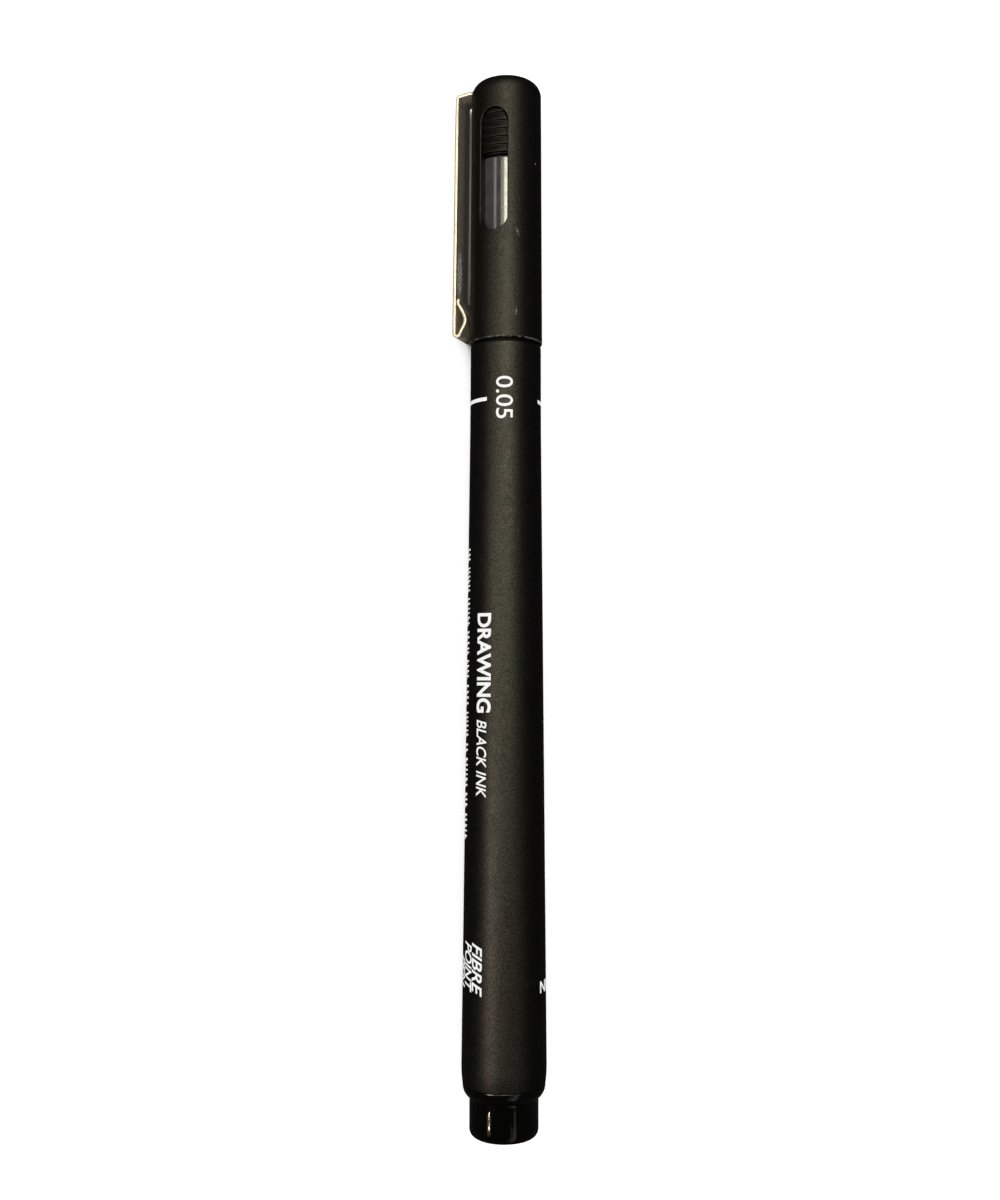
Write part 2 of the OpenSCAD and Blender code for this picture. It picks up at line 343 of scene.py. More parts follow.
def satin_black(name, tone, rough, worn_and_highlit=(), scuffs=(), specks=0.03, shaded_recess_at=None):
    """Moulded plastic with a satin grain, slight browns and greens, wear lines and dust.

    worn_and_highlit holds (y, reach) pairs for rings lightened as rubbing wear and as a painted
    highlight, scuffs holds marks as (centre, half sizes, turn), and shaded_recess_at is the y of a
    recess where the reflection is dimmed to dark grey as painted shade.
    """
    n = Nodes(name)
    patch = n.span(n.noise(330, 4, 0.65), 0.42, 0.58)
    grain = n.noise(5200, 3, 0.7)
    brown = tuple(tone * k for k in (1.5, 0.95, 0.45))
    green = tuple(tone * k for k in (0.8, 1.1, 0.6))
    colour = n.mix(patch, brown, green)
    colour = n.mix(n.span(grain, 0.5, 0.8, 0.0, 0.5), colour, (tone * 3, tone * 2.8, tone * 2))
    sheen = n.mix(patch, (1.0, 0.93, 0.84), (0.93, 1.0, 0.89))
    sheen = n.mix(n.span(grain, 0.40, 0.62), (0.42, 0.40, 0.37), sheen)
    # Painted shade: the reflection turns dark grey near the recess.
    if shaded_recess_at is not None:
        sheen = n.mix(n.near(shaded_recess_at, 0.0010), sheen, (0.08, 0.08, 0.08))
    n.join(sheen, n.shader.inputs["Specular Tint"])
    lines = n.span(n.noise(1, 3, 0.7, n.stretched((9000, 260, 9000))), 0.66, 0.74, 0.0, 0.25)
    # Lighter rings: rubbing wear, and a painted highlight along the edge they sit on.
    for y, reach in worn_and_highlit:
        rub_and_highlight = n.maths("MULTIPLY", n.near(y, reach), n.span(n.noise(1400, 3, 0.6), 0.42, 0.62))
        colour = n.mix(n.maths("MULTIPLY", rub_and_highlight, 0.7), colour, (0.11, 0.105, 0.09))
    for centre, size, turn in scuffs:
        colour = n.mix(n.maths("MULTIPLY", n.scuff(centre, size, turn), 0.8), colour, (0.32, 0.30, 0.27))
    colour = n.mix(n.specks(420, 0.06, specks), colour, (0.22, 0.21, 0.19))
    gloss = n.span(n.noise(700, 4, 0.6), 0.3, 0.7, rough - 0.04, rough + 0.05)
    gloss = n.maths("SUBTRACT", gloss, n.maths("MULTIPLY", lines, 0.3))
    fine = n.bump(grain, 0.000022, 0.8)
    soft = n.bump(n.noise(420, 2), 0.00002, 0.25, fine)
    return n.done(colour, gloss, soft, IOR=1.5)


def glossy_plastic(name, dark, light, rough, ior=1.49, dull_at=None):
    """Polished moulded plastic with smears and hairline scratches, duller at one height."""
    n = Nodes(name)
    colour = n.mix(n.span(n.noise(500, 3), 0.35, 0.65), dark, light)
    hair = n.span(n.noise(1, 2, 0.6, n.stretched((14000, 500, 14000))), 0.68, 0.74)
    smear = n.span(n.noise(900, 4, 0.6), 0.35, 0.7, rough * 0.7, rough * 1.6)
    gloss = n.maths("ADD", smear, n.maths("MULTIPLY", hair, 0.12))
    if dull_at is not None:
        gloss = n.maths("ADD", gloss, n.maths("MULTIPLY", n.near(dull_at, 0.0012), 0.12))
    fine = n.bump(n.maths("ADD", n.noise(9000, 2), hair), 0.0000002, 0.5)
    return n.done(colour, gloss, fine, IOR=ior)


def rolled_steel(name, tint, rough, along=(16000, 220, 16000), painted_reflection=None):
    """Bright steel with fine lines along its length, smears and a few pits.

    painted_reflection gives a pale patch painted on the strip as a reflection, as (centre, half
    sizes, way across the strip). A thin warm film lies on the patch's side of the strip.
    """
    n = Nodes(name)
    lines = n.noise(1, 4, 0.7, n.stretched(along))
    cloud = n.noise(600, 3, 0.6)
    colour = n.mix(n.span(cloud, 0.3, 0.7), tint, tuple(c * 0.86 for c in tint))
    colour = n.mix(n.specks(1500, 0.10, 0.04), colour, tuple(c * 0.45 for c in tint))
    smear = n.span(cloud, 0.4, 0.8, 0.0, 0.08)
    gloss = n.maths("ADD", n.span(lines, 0.3, 0.7, rough * 0.6, rough * 1.4), smear)
    normal = n.bump(lines, 0.0000008, 0.8)
    if painted_reflection is None:
        return n.done(colour, gloss, normal, Metallic=0.85)
    centre, size, across = painted_reflection
    aside = n.add("ShaderNodeVectorMath", operation="DOT_PRODUCT")
    n.join(n.place, aside.inputs[0])
    aside.inputs[1].default_value = across
    film_edge = centre.dot(across) + 0.0006
    film = n.span(aside.outputs["Value"], film_edge, film_edge + 0.001, 0.78, 1.0)
    # A pale, non-metallic patch: a painted reflection on the strip's face.
    painted_reflection_mask = n.maths("MINIMUM", n.maths("MULTIPLY", n.scuff(centre, size), 2.0), 1.0)
    colour = n.mix(painted_reflection_mask, colour, (0.95, 0.94, 0.90))
    n.join(n.maths("MULTIPLY", film, n.span(painted_reflection_mask, 0, 1, 1.0, 0.0)), n.shader.inputs["Metallic"])
    return n.done(colour, gloss, normal)


def fibre(name, base, fine=9000):
    """Bundled fibres that run along the pen."""
    n = Nodes(name)
    strands = n.noise(1, 4, 0.7, n.stretched((fine, 500, fine)))
    colour = n.mix(n.span(strands, 0.3, 0.7), tuple(c * 0.7 for c in base), base)
    return n.done(colour, n.span(strands, 0.2, 0.8, 0.75, 0.95), n.bump(strands, 0.00003, 0.8))


def white_ink(name):
    """Pad-printed ink: slightly uneven in cover, with a soft satin surface."""
    n = Nodes(name)
    cover = n.span(n.noise(5200, 3, 0.6), 0.3, 0.62)
    colour = n.mix(cover, (0.58, 0.58, 0.56), (0.80, 0.80, 0.77))
    gloss = n.span(n.noise(3000, 2), 0.3, 0.7, 0.42, 0.58)
    return n.done(colour, gloss, n.bump(n.noise(9000, 2), 0.000006, 0.6))


def pale_table():
    """A near-white surface. It glows a little where it is open, a painted light that keeps the pen's
    shadow faint, and is painted dark as shade where it is nearly covered."""
    n = Nodes("table")
    colour = n.mix(n.span(n.noise(60, 4), 0.3, 0.7), (0.86, 0.86, 0.855), (0.90, 0.90, 0.895))
    cover = n.add("ShaderNodeAmbientOcclusion", samples=16)
    cover.inputs["Distance"].default_value = 0.02
    sky = cover.outputs["AO"]
    # Painted shade: the colour turns dark where little of the room reaches the surface.
    colour = n.mix(n.span(sky, 0.26, 0.42), (0.13, 0.13, 0.11), colour)
    n.join(colour, n.shader.inputs["Emission Color"])
    n.join(n.span(sky, 0.30, 0.46, 0.0, 0.42), n.shader.inputs["Emission Strength"])
    gloss = n.span(n.noise(300, 3), 0.3, 0.7, 0.6, 0.75)
    return n.done(colour, gloss, n.bump(n.noise(2500, 3), 0.00002, 0.3))


def y_at(z):
    return TAIL_Y + z * MM


BARREL_SATIN = satin_black("barrel_satin", 0.0008, 0.43)
CAP_SATIN = satin_black(
    "cap_satin", 0.0009, 0.44,
    # A light ring at the rim: wear and a painted highlight on its edge.
    worn_and_highlit=[(y_at(CAP_RIM + 0.1), 0.00015)],
    scuffs=[(on_pen(4.95, math.radians(15), 116.6), (0.00013, 0.0008, 0.0008), 0.35),
            (on_pen(4.97, math.radians(13), 105.4), (0.00012, 0.0008, 0.0008), -0.08)],
    specks=0.05)
PLUG_GLOSS = glossy_plastic(
    "plug_gloss", (0.0004, 0.0004, 0.0003), (0.0008, 0.0007, 0.0006), 0.02,
    dull_at=y_at(BARREL_BACK - 0.3))
INNER_GLOSS = glossy_plastic(
    "inner_cap_gloss", (0.034, 0.033, 0.031), (0.045, 0.044, 0.041), 0.14, ior=1.72)
HOLDER_SATIN = satin_black("holder_satin", 0.0012, 0.40)
# The reflection is dimmed as painted shade in the recess at the barrel's front end.
GRIP_SATIN = satin_black("grip_satin", 0.0012, 0.45, shaded_recess_at=y_at(BARREL_FRONT + 0.3))
# Where the clip's inner face carries a pale painted reflection.
PAINTED_REFLECTION_AT = on_pen(0, 0, CAP_RIM + 10.6) + (OUTWARD * (CLIP_OUT - CLIP_T) - ACROSS * 0.75) * MM
PAINTED_REFLECTION_SIZE = (0.0007, 0.0042, 0.0011)
CLIP_STEEL = rolled_steel("clip_steel", (0.88, 0.77, 0.60), 0.16, painted_reflection=(PAINTED_REFLECTION_AT, PAINTED_REFLECTION_SIZE, ACROSS))
SLEEVE_STEEL = rolled_steel("sleeve_steel", (0.72, 0.72, 0.71), 0.22)
NIB_FIBRE = fibre("nib_fibre", (0.02, 0.02, 0.02), 20000)
WICK_FIBRE = fibre("wick_fibre", (0.55, 0.54, 0.50))
FILM = glossy_plastic("film", (0.45, 0.47, 0.48), (0.52, 0.54, 0.55), 0.15)
PRINT_INK = white_ink("print_ink")

# ---- pen body -----------------------------------------------------------------------------


def barrel_radius(z):
    """The barrel's outer radius: a taper up to the parallel front, with a rounded shoulder behind."""
    shoulder = BARREL_BACK + SHOULDER
    taper_end = BARREL_FRONT - PARALLEL
    if z >= taper_end:
        return FRONT_R
    if z >= shoulder:
        return BARREL_R + (FRONT_R - BARREL_R) * (z - shoulder) / (taper_end - shoulder)
    round_r = 16.0
    return BARREL_R - round_r + math.sqrt(round_r ** 2 - (shoulder - z) ** 2)


def make_barrel():
    """The tube, with a rounded shoulder at the back and a wider bore for the plug."""
    edge = 0.08
    steps = 10
    start = BARREL_BACK + edge
    taper_end = BARREL_FRONT - PARALLEL
    on_taper = (30, 50, 70, taper_end - 1, taper_end, taper_end + 1)
    outer = arc(barrel_radius(start) - edge, start, edge, -90, 0, 5)
    shoulder = [start + SHOULDER * k / steps for k in range(1, steps + 1)]
    outer += [(barrel_radius(z), z) for z in (*shoulder, *on_taper)]
    front = rounded([(FRONT_R, taper_end + 1), (FRONT_R, BARREL_FRONT, 0.2), (BORE_R, BARREL_FRONT, 0.1),
                     (BORE_R, PLUG_BORE_END)])
    inner = [(BORE_R, PLUG_BORE_END), (PLUG_BORE_R, PLUG_BORE_END), (PLUG_BORE_R, BARREL_BACK + 0.01)]
    piece = lathe("barrel_tube", outer + front[1:] + inner[1:], BARREL_SATIN, 256, closed=True)
    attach(piece, "barrel")
    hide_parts("barrel")


def make_plug():
    """The plug: dimpled end, post, rounded collar and the hollow part inside the barrel."""
    collar_r = BARREL_R - 0.17
    collar_round = 1.8
    end_round = 1.0
    tube_r, tube_bore, tube_end, floor = 3.3, 2.4, 19.4, 1.4
    seat = BARREL_BACK - 0.02
    foot = math.degrees(math.acos((POST_R - (collar_r - collar_round)) / collar_round))
    foot_z = seat - collar_round * math.sin(math.radians(foot))
    dimple = [(0, 0.3), (0.45, 0.28), (0.66, 0.12), (0.74, 0.03), (0.82, 0)]
    end = arc(POST_R - end_round, end_round, end_round, -90, 0, 14)
    post = [(POST_R, 1.06), (POST_R, 1.12), (POST_R, foot_z - 0.26), (POST_R, foot_z - 0.2)]
    corner = [(POST_R + 0.01, foot_z - 0.05), (POST_R + 0.05, foot_z + 0.03)]
    collar = arc(collar_r - collar_round, seat, collar_round, -foot + 6, -2, 12) + [(collar_r - 0.02, seat)]
    plug_r, plug_end = PLUG_BORE_R - 0.02, PLUG_BORE_END - 0.5
    inside = [(plug_r, seat), (plug_r, plug_end), (tube_r, plug_end), (tube_r, tube_end),
              (tube_bore, tube_end), (tube_bore, floor), (0, floor)]
    piece = lathe("tail_plug_body", dimple + end + post + corner + collar + inside, PLUG_GLOSS, 192)
    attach(piece, "barrel")
    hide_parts("tail_plug")


# Half of one groove and its mirror image, as (offset along the pen, depth)
GROOVE = ((-0.24, 0), (-0.2, 0.006), (-0.15, 0.045), (-0.09, 0.115), (0, 0.14),
          (0.09, 0.115), (0.15, 0.045), (0.2, 0.006), (0.24, 0))


def make_grip():
    """The section under the cap: collar, snap ridge, grooved grip and cone."""
    stop_r, stop_front = 4.5, CAP_RIM + 0.35
    seat_r, seat_front = BORE_R - 0.02, BARREL_FRONT + 0.02
    land_r, ridge_r, ridge_half = 4.12, 4.33, 0.6
    ridge_z = CAP_RIM + 2.6
    grip_r, grip_back = 3.45, CAP_RIM + 8.2
    groove_pitch, grooves_from = 1.1, grip_back + 1.38
    front, front_r = NIB_POINT - 6.1, 2.15
    nose_base = front - 3
    back = 84.0
    collar = rounded([(0, back), (seat_r, back), (seat_r, seat_front), (stop_r, seat_front, 0.05),
                      (stop_r, stop_front, 0.08), (land_r, stop_front, 0.1),
                      (land_r, ridge_z - ridge_half)])
    ridge = []
    for degrees in range(-80, 81, 10):
        a = math.radians(degrees)
        ridge.append((land_r + (ridge_r - land_r) * math.cos(a), ridge_z + ridge_half * math.sin(a)))
    slope = rounded([(land_r, ridge_z + ridge_half), (land_r, CAP_RIM + 4.4, 0.5), (grip_r, grip_back, 0.5),
                     (grip_r, grip_back + 1.1)])
    grooves = []
    for i in range(4):
        z = grooves_from + i * groove_pitch
        grooves += [(grip_r - depth, z + off) for off, depth in GROOVE]
    nose = rounded([(grip_r, grip_back + 5.2), (grip_r, nose_base, 1.2), (front_r, front, 0.12),
                    (0, front)], 10)
    piece = lathe("grip_body", collar + ridge + slope + grooves + nose, GRIP_SATIN, 192)
    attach(piece, "barrel")
    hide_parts("grip_section")
    return front


def make_nib(section_front):
    """The cone, the steel sleeve and the fibre point. Each starts hidden inside the grip section."""
    cone_r, cone_back, cone_front = 2.0, 112, NIB_POINT - 3.3
    cone_bore = 0.63
    sleeve_r, sleeve_back, sleeve_front = 0.62, section_front - 1.8, NIB_POINT - 0.8
    nib_r, nib_back, point_r = 0.4, 113, 0.14
    sleeve_bore = nib_r + 0.01
    cone = rounded([
        (0, cone_back), (cone_r, cone_back), (cone_r, section_front + 0.1, 0.06),
        (1.05, cone_front - 0.25, 0.15), (0.95, cone_front, 0.1), (cone_bore, cone_front, 0.03),
        (cone_bore, cone_front - 1), (0, cone_front - 1)])
    tube = rounded([
        (0, sleeve_back), (sleeve_r, sleeve_back), (sleeve_r, sleeve_front - 0.7, 0.3),
        (nib_r + 0.06, sleeve_front, 0.02), (sleeve_bore, sleeve_front),
        (sleeve_bore, sleeve_front - 0.5), (0, sleeve_front - 0.5)])
    tip = rounded([
        (0, nib_back), (nib_r, nib_back), (nib_r, sleeve_front - 0.05, 0.03),
        (point_r + 0.02, sleeve_front + 0.1, 0.04), (point_r, NIB_POINT - 0.06, 0.03),
        (0.05, NIB_POINT, 0.02), (0, NIB_POINT)], 5, 0.01)
    pieces = (
        (lathe("nib_cone", cone, GRIP_SATIN, 96), "nib_holder", "grip_black"),
        (lathe("nib_tube", tube, SLEEVE_STEEL, 64), "nib_sleeve", "sleeve_steel"),
        (lathe("nib_point", tip, NIB_FIBRE, 48), "nib", "nib_fibre"))
    for piece, node, slot in pieces:
        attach(piece, "barrel")
        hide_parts(node)


# ---- cap ----------------------------------------------------------------------------------

HALF_STEPS = 72              # steps round half of the cap
SIDE_STEPS = 60              # steps up the patch that holds a window
PATCH_LOW, PATCH_HIGH = WINDOW_MID - WINDOW_LEN / 2 - 3.5, WINDOW_TOP + 2.6


def cap_radius(z):
    return RIM_R + (CROWN_R - RIM_R) * (z - CAP_RIM) / (CAP_TOP - CROWN_ROUND - CAP_RIM)


def patch_border():
    """The patch's outline as (u, z), u being the distance round the cap from the window's middle."""
    half = math.pi / 2 * CROWN_R
    low = [(-half + 2 * half * k / HALF_STEPS, PATCH_LOW) for k in range(HALF_STEPS)]
    right = [(half, PATCH_LOW + (PATCH_HIGH - PATCH_LOW) * k / SIDE_STEPS) for k in range(SIDE_STEPS)]
    high = [(half - 2 * half * k / HALF_STEPS, PATCH_HIGH) for k in range(HALF_STEPS)]
    left = [(-half, PATCH_HIGH - (PATCH_HIGH - PATCH_LOW) * k / SIDE_STEPS) for k in range(SIDE_STEPS)]
    return low + right + high + left


def window_rays():
    """For each border point: the nearest point of the window's spine, the way out and how far."""
    run = (WINDOW_LEN - WINDOW_W) / 2
    rays = []
    for u, z in patch_border():
        spine = Vector((0, min(max(z, WINDOW_MID - run), WINDOW_MID + run)))
        out = Vector((u, z)) - spine
        rays.append((spine, out.normalized(), out.length))
    return rays


def add_window_patch(bm, middle):
    """Half of the cap's wall round one window: outer face, rounded edge, window wall, inner face."""
    edge = 0.13
    rings = []
    rays = window_rays()

    def ring(distance, depth, share=None, inside=False):
        verts = []
        for spine, out, reach in rays:
            start = WINDOW_W / 2 + distance
            at = spine + out * (start if share is None else start + (reach - start) * share)
            r = CHAMBER_R + depth if inside else cap_radius(at.y) - depth
            verts.append(bm.verts.new(on_pen(r, middle + at.x / CROWN_R, at.y)))
        rings.append(verts)

    spread = [(k / 14) ** 1.25 for k in range(14, 0, -1)]
    for share in spread:
        ring(edge + 0.05, 0, share)
    ring(edge + 0.05, 0)
    for k in range(7):
        a = math.radians(90 * k / 6)
        ring(edge * (1 - math.sin(a)), edge * (1 - math.cos(a)))
    ring(0, edge + 0.04)
    ring(0, 0.05, inside=True)
    ring(0.03, 0, inside=True)
    for share in reversed(spread):
        ring(0.03, 0, share, inside=True)
    count = len(rays)
    for a, b in zip(rings, rings[1:]):
        for k in range(count):
            m = (k + 1) % count
            bm.faces.new((a[k], a[m], b[m], b[k]))


def make_cap():
    """The cap: turned below and above the windows, with a patch round each window between."""
    bm = bmesh.new()
    segments = 2 * HALF_STEPS
    mouth_top = CAP_RIM + 0.4
    low = rounded([(CHAMBER_R, PATCH_LOW), (CHAMBER_R, SKIRT_TOP), (SKIRT_R, SKIRT_TOP),
                   (SKIRT_R, mouth_top), (MOUTH_R, mouth_top, 0.03), (MOUTH_R, CAP_RIM, 0.06),
                   (RIM_R, CAP_RIM, 0.15), (cap_radius(CAP_RIM + 3), CAP_RIM + 3),
                   (cap_radius(PATCH_LOW), PATCH_LOW)], 6)
    crown = [(cap_radius(PATCH_HIGH), PATCH_HIGH), (CROWN_R, CAP_TOP - CROWN_ROUND - 0.1)]
    crown += arc(CROWN_R - CROWN_ROUND, CAP_TOP - CROWN_ROUND, CROWN_ROUND, 0, 90, 20)
    crown += [(CROWN_R - CROWN_ROUND - 0.1, CAP_TOP), (0, CAP_TOP)]
    ceiling = [(0, CEILING), (CHAMBER_R - 0.1, CEILING), (CHAMBER_R, CEILING - 0.1),
               (CHAMBER_R, PATCH_HIGH)]
    turned = bmesh.new()
    for profile in (low, crown, ceiling):
        add_lathe(turned, profile, segments)
    # Rings start at the top of the pen, so they are turned to meet the patches' edges
    pen_turn = Matrix.Translation(on_pen(0, 0, 0)) @ Matrix.Rotation(WINDOW_ANGLE + math.pi / 2, 4, "Y")
    turned.transform(pen_turn @ Matrix.Translation(-on_pen(0, 0, 0)))
    mesh = bpy.data.meshes.new("cap_turned")
    turned.to_mesh(mesh)
    turned.free()
    bm.from_mesh(mesh)
    bpy.data.meshes.remove(mesh)
    for middle in (WINDOW_ANGLE, WINDOW_ANGLE + math.pi):
        add_window_patch(bm, middle)
    bmesh.ops.remove_doubles(bm, verts=bm.verts, dist=2e-6)
    piece = finish_mesh(bm, "cap_shell_body", CAP_SATIN)
    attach(piece, "cap")
    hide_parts("cap_shell")


def make_inner_cap():
    """The cup that seals round the grip. Its wall shows in the windows."""
    fit = 0.03
    outer_r, flange_r = CHAMBER_R - fit, SKIRT_R - fit
    seal_r = 3.52
    bore_r, mouth_r = seal_r + 0.08, seal_r + 0.23
    top = heights("inner_cap")[1]
    ceiling = top - 0.9
    flange_low, flange_top = SKIRT_TOP - 0.8, SKIRT_TOP - 0.02
    profile = rounded([
        (0, top), (outer_r, top, 0.3), (outer_r, flange_top, 0.02), (flange_r, flange_top, 0.05),
        (flange_r, flange_low, 0.1), (mouth_r, flange_low, 0.1), (seal_r, SKIRT_TOP + 0.3, 0.15),
        (seal_r, SKIRT_TOP + 1.3, 0.15), (bore_r, SKIRT_TOP + 1.6, 0.1), (bore_r, ceiling, 0.2),
        (0, ceiling)])
    piece = lathe("inner_cap_body", profile, INNER_GLOSS, 192)
    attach(piece, "cap")
    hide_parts("inner_cap")


PAD_BOTTOM = heights("clip_holder")[0] + 0.15
PAD_R = CROWN_R - 0.18
RIB_PITCH = 1.17
RIB_DEPTH = 0.24


def pad_depth(z):
    """Depth of a tooth at a height: each leans in towards the cap's top and ends in a rounded step."""
    step = 0.16
    t = ((z - PAD_BOTTOM) / RIB_PITCH) % 1.0
    if t < 1 - step:
        return RIB_DEPTH * (t / (1 - step)) ** 1.3
    return RIB_DEPTH * (0.5 + 0.5 * math.cos(math.pi * (t - 1 + step) / step))


def add_pad(bm, middle):
    """The ribbed pad in one window, a closed solid with rounded sides."""
    gap = 0.09
    edge = 0.12
    half = WINDOW_W / 2 - gap
    spine_top = WINDOW_TOP - WINDOW_W / 2
    rows, columns = 150, 28
    top = spine_top + half
    grid = []
    for i in range(rows + 1):
        z = PAD_BOTTOM + (top - PAD_BOTTOM) * i / rows
        wide = half if z <= spine_top else math.sqrt(max(half ** 2 - (z - spine_top) ** 2, 1e-6))
        row = []
        for k in range(columns + 1):
            across = math.sin(math.pi / 2 * (2 * k / columns - 1))
            u = wide * across
            room = min(wide - abs(u), z - PAD_BOTTOM, top - z)
            sink = edge - math.sqrt(max(edge ** 2 - max(edge - room, 0) ** 2, 0))
            row.append((PAD_R - pad_depth(z) - sink, middle + u / CROWN_R, z))
        grid.append(row)
    front = [[bm.verts.new(on_pen(*p)) for p in row] for row in grid]
    back = [[bm.verts.new(on_pen(CHAMBER_R - 0.2, a, z)) for _, a, z in row] for row in grid]
    for layer, flip in ((front, False), (back, True)):
        for i in range(rows):
            for k in range(columns):
                quad = [layer[i][k], layer[i][k + 1], layer[i + 1][k + 1], layer[i + 1][k]]
                bm.faces.new(quad[::-1] if flip else quad)
    border = [(0, k) for k in range(columns)] + [(i, columns) for i in range(rows)]
    border += [(rows, k) for k in range(columns, 0, -1)] + [(i, 0) for i in range(rows, 0, -1)]
    for (i, k), (j, m) in zip(border, border[1:] + border[:1]):
        bm.faces.new((front[i][k], front[j][m], back[j][m], back[i][k]))


def make_clip_holder():
    """The insert in the cap's top, with a ribbed pad in each window."""
    bm = bmesh.new()
    bottom = heights("clip_holder")[0]
    top = CEILING - 0.02
    outer_r = CHAMBER_R - 0.03
    skirt_r, skirt_top = outer_r - 1.05, bottom + 1.0
    core = rounded([(0, skirt_top), (skirt_r, skirt_top), (skirt_r, bottom, 0.1),
                    (outer_r, bottom, 0.15), (outer_r, top, 0.1), (0, top)])
    add_lathe(bm, core, 96)
    for middle in (WINDOW_ANGLE, WINDOW_ANGLE + math.pi):
        add_pad(bm, middle)
    piece = finish_mesh(bm, "clip_holder_body", HOLDER_SATIN)
    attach(piece, "cap")
    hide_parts("clip_holder")


# ---- clip ---------------------------------------------------------------------------------

BRIDGE_SLOPE = 8.0
BEND_R = 0.7 - CLIP_T / 2
TURN_R = 0.45
TURN_END = -158.0
STRIP_Z = CAP_TOP - 1.3
LIP_R = 0.4


def clip_path():
    """The strip's centreline outside the cap, as (distance from the axis, height) points."""
    turn_x = CLIP_OUT - CLIP_T / 2 - TURN_R
    turn_z = CAP_RIM + 1.9
    reach = Vector((turn_x - PIVOT_X, PIVOT_Z - turn_z))
    splay = math.degrees(math.atan2(reach.x, reach.y) - math.asin((BEND_R - TURN_R) / reach.length))
    turn = arc(turn_x, turn_z, TURN_R, splay, TURN_END, 24)
    a = math.radians(TURN_END)
    rise = turn[-1]
    bead = (RIM_R + 0.07 + CLIP_T / 2, CAP_RIM + 3.7)
    lip_x, lip_z = CLIP_OUT - 1.5 * CLIP_T - 0.1, CAP_RIM + 6.3
    lip = arc(lip_x - LIP_R, lip_z, LIP_R, -25, 55, 8)
    b = math.radians(-25)
    in_wall = (4.3, 4.8)
    path = [(x, STRIP_Z) for x in (*in_wall, RIM_R)] + [(RIM_R + 0.1, STRIP_Z - 0.015)]
    path += arc(PIVOT_X, PIVOT_Z, BEND_R, 90 - BRIDGE_SLOPE, splay, 12)
    bend_end = path[-1]
    lengths = 24
    path += [(bend_end[0] + (turn[0][0] - bend_end[0]) * k / lengths,
              bend_end[1] + (turn[0][1] - bend_end[1]) * k / lengths) for k in range(1, lengths)]
    path += turn
    path += bezier(rise, (rise[0] + 0.95 * math.sin(a), rise[1] - 0.95 * math.cos(a)),
                   (bead[0], bead[1] - 0.75), bead, 14)
    path += bezier(bead, (bead[0], bead[1] + 0.8),
                   (lip[0][0] + 0.8 * math.sin(b), lip[0][1] - 0.8 * math.cos(b)), lip[0], 16)
    return path + lip[1:]


def strip_section(width, thick, edge, n=5):
    """A flat strip's cross-section with rounded edges, as (across, through) points."""
    points = []
    for sx, sy, start in ((1, 1, 0), (-1, 1, 90), (-1, -1, 180), (1, -1, 270)):
        points += arc(sx * (width / 2 - edge), sy * (thick / 2 - edge), edge, start, start + 90, n)
    return points


def sweep_strip(name, path, material, width, edge=0.07, close=0.10):
    """Sweeps the strip's section along a path in the clip's plane, with rounded ends."""
    bm = bmesh.new()
    origin = on_pen(0, 0, 0)
    rings = []

    def ring(point, normal, inset, along=0.0):
        tangent = Vector((-normal.y, normal.x))
        at = Vector(point) + tangent * along
        verts = []
        for x, y in strip_section(width - 2 * inset, CLIP_T - 2 * inset, max(edge - inset, 0.02)):
            p = at + normal * y
            verts.append(bm.verts.new(origin + (OUTWARD * p.x + ACROSS * x + Vector((0, p.y, 0))) * MM))
        rings.append(verts)

    def normal_at(i):
        a, b = Vector(path[max(i - 1, 0)]), Vector(path[min(i + 1, len(path) - 1)])
        t = (b - a).normalized()
        return Vector((t.y, -t.x))

    steps = 4
    first, last = normal_at(0), normal_at(len(path) - 1)
    for k in range(steps, 0, -1):
        a = math.pi / 2 * k / steps
        ring(path[0], first, close * (1 - math.cos(a)), -close * math.sin(a))
    for i, point in enumerate(path):
        ring(point, normal_at(i), 0)
    for k in range(1, steps + 1):
        a = math.pi / 2 * k / steps
        ring(path[-1], last, close * (1 - math.cos(a)), close * math.sin(a))
    count = len(rings[0])
    for a, b in zip(rings, rings[1:]):
        for k in range(count):
            m = (k + 1) % count
            bm.faces.new((a[k], a[m], b[m], b[k]))
    bm.faces.new(rings[0])
    bm.faces.new(rings[-1])
    return finish_mesh(bm, name, material)


def make_clip():
    """The strip that shows, bending between cap and clip, and its tang inside the cap."""
    spring = sweep_strip("clip_spring", clip_path(), CLIP_STEEL, CLIP_W)
    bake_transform(spring)
    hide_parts("clip_arm")
    tang_x, tang_end, tang_w, bend = 3.535, 4.1, 3.0, 0.325
    path = [(tang_x, CAP_TOP - 9.8), (tang_x, STRIP_Z - bend - 0.1)]
    path += arc(tang_x + bend, STRIP_Z - bend, bend, 180, 90, 8) + [(tang_end, STRIP_Z)]
    tang = sweep_strip("clip_tang", path, CLIP_STEEL, tang_w)
    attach(tang, "cap")
    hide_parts("clip_root")


# ---- print --------------------------------------------------------------------------------

INK = 0.012                  # height of the ink above the plastic
SUNK = -0.02                 # the ink's hidden underside
SLICE = 0.12                 # widest flat facet of a wrapped drawing
RING_Z = 93.4


